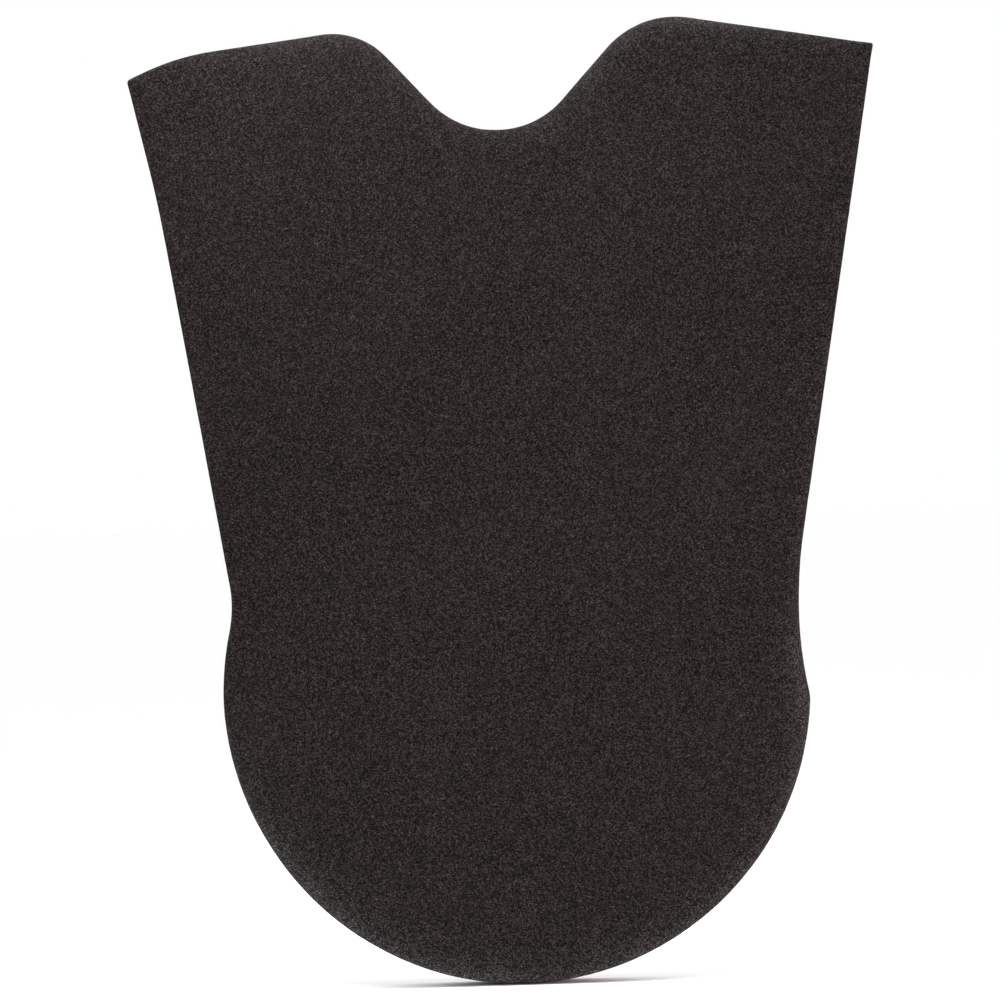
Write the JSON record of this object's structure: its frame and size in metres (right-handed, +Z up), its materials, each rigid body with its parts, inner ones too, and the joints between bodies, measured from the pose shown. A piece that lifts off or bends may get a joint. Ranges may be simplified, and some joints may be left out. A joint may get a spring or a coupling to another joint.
{
  "type": "back protector",
  "caption": "Flat laminated foam back pad for a motorcycle jacket, with shoulder lobes, a rounded neck cutout, a slight waist and a round lower end.",
  "frame": {"origin": "middle of the body-side face, halfway between the highest and the lowest point and halfway between the shoulder corners", "axes": "+Z up to the neck, +Y out of the body-side face towards the wearer's back, +X to the wearer's right; the outer face looks along -Y"},
  "size_m": [0.325, 0.014, 0.42],
  "materials": {
    "outer_foam": "charcoal closed-cell foam skin, finely pitted and matte",
    "core_foam": "dense dark foam, fine cells, matte cut edge",
    "comfort_foam": "softer charcoal foam, open fine cells, matte",
    "bond_film": "thin smoked hot-melt bonding film, satin"
  },
  "bodies": {
    "root": {"comfort_foam": "comfort_foam", "inner_bond_film": "bond_film", "core_foam": "core_foam", "outer_bond_film": "bond_film", "outer_foam": "outer_foam"}
  },
  "joints": []
}
